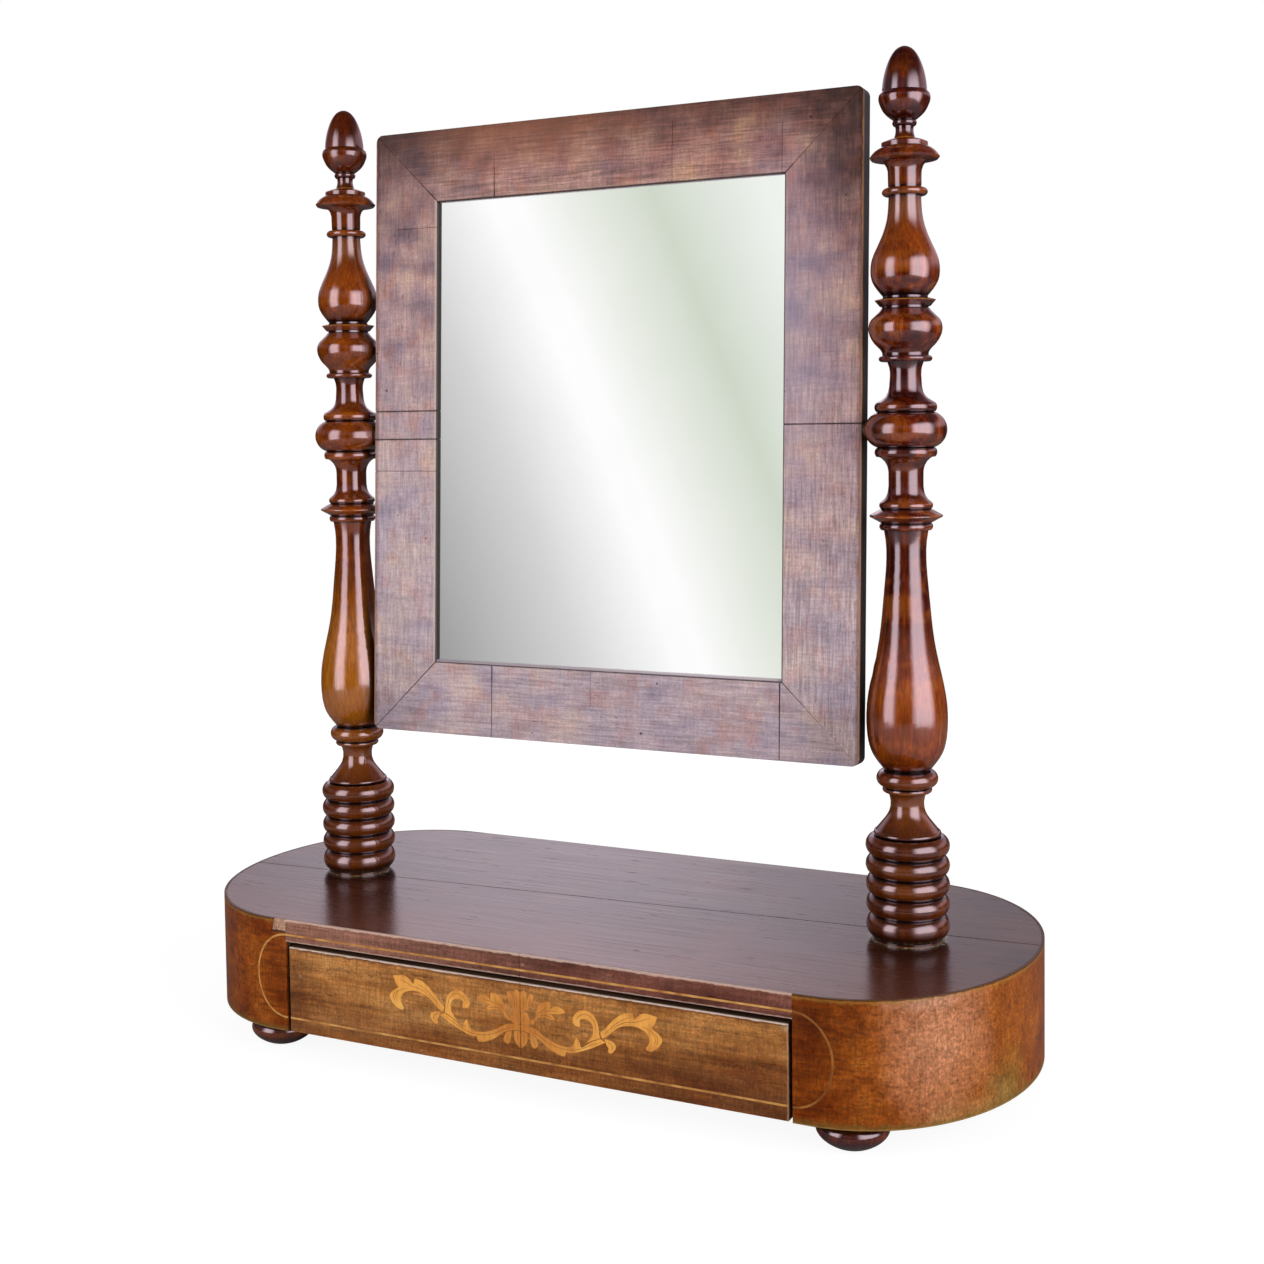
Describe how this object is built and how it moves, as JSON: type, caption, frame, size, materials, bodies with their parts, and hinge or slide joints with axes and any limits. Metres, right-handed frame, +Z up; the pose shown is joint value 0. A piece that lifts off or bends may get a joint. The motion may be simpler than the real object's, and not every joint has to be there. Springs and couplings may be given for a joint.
{
  "type": "table mirror",
  "caption": "Swing mirror in a veneered frame between turned posts with acorn finials, on a round-ended base with an inlaid drawer and bun feet.",
  "frame": {"origin": "on the table under the middle of the base", "axes": "+Z up, +X to the right along the base, -Y to the front where the drawer opens"},
  "size_m": [0.559, 0.246, 0.6243],
  "materials": {
    "walnut_veneer": "polished",
    "turned_walnut": "gloss polish",
    "dark_walnut": "polished",
    "stained_pine": "dark stain",
    "pine": "bare",
    "boxwood_string": "polished",
    "silvered_glass": "silvered",
    "iron": "drawn",
    "leather": "bare"
  },
  "bodies": {
    "base": {"top_board_front": "dark_walnut", "top_board_rear": "dark_walnut", "front_rail": "pine", "rail_facing_left": "walnut_veneer", "rail_facing_right": "walnut_veneer", "rail_stringing": "boxwood_string", "left_end_block": "pine", "right_end_block": "pine", "left_end_veneer": "walnut_veneer", "right_end_veneer": "walnut_veneer", "left_end_stringing": "boxwood_string", "right_end_stringing": "boxwood_string", "back_board": "pine", "bottom_board": "pine", "left_kicker": "pine", "right_kicker": "pine", "left_drawer_guide": "pine", "right_drawer_guide": "pine", "front_left_foot": "turned_walnut", "front_right_foot": "turned_walnut", "rear_left_foot": "turned_walnut", "rear_right_foot": "turned_walnut", "left_post": "turned_walnut", "right_post": "turned_walnut", "left_finial": "turned_walnut", "right_finial": "turned_walnut", "veneer_patch": "walnut_veneer"},
    "mirror": {"frame_top_rail": "stained_pine", "frame_bottom_rail": "stained_pine", "frame_left_stile": "stained_pine", "frame_right_stile": "stained_pine", "frame_top_rail_veneer": "walnut_veneer", "frame_bottom_rail_veneer": "walnut_veneer", "frame_left_stile_veneer": "walnut_veneer", "frame_right_stile_veneer": "walnut_veneer", "mirror_glass": "silvered_glass", "glass_backing": "pine", "backing_brads": "iron", "left_pivot_pin": "iron", "right_pivot_pin": "iron", "left_pivot_washer": "leather", "right_pivot_washer": "leather"},
    "drawer": {"drawer_front": "pine", "drawer_facing_left": "walnut_veneer", "drawer_facing_right": "walnut_veneer", "drawer_stringing": "boxwood_string", "drawer_left_side": "pine", "drawer_right_side": "pine", "drawer_back": "pine", "drawer_bottom": "pine", "drawer_bottom_nails": "iron"}
  },
  "joints": [
    {"name": "mirror_tilt", "type": "hinge", "parent": "base", "child": "mirror", "pos_m": [0, 0, 0.3984], "axis": [1, 0, 0], "continuous": true},
    {"name": "drawer_slide", "type": "slide", "parent": "base", "child": "drawer", "axis": [0, -1, 0], "range_m": [0, 0.15]}
  ]
}
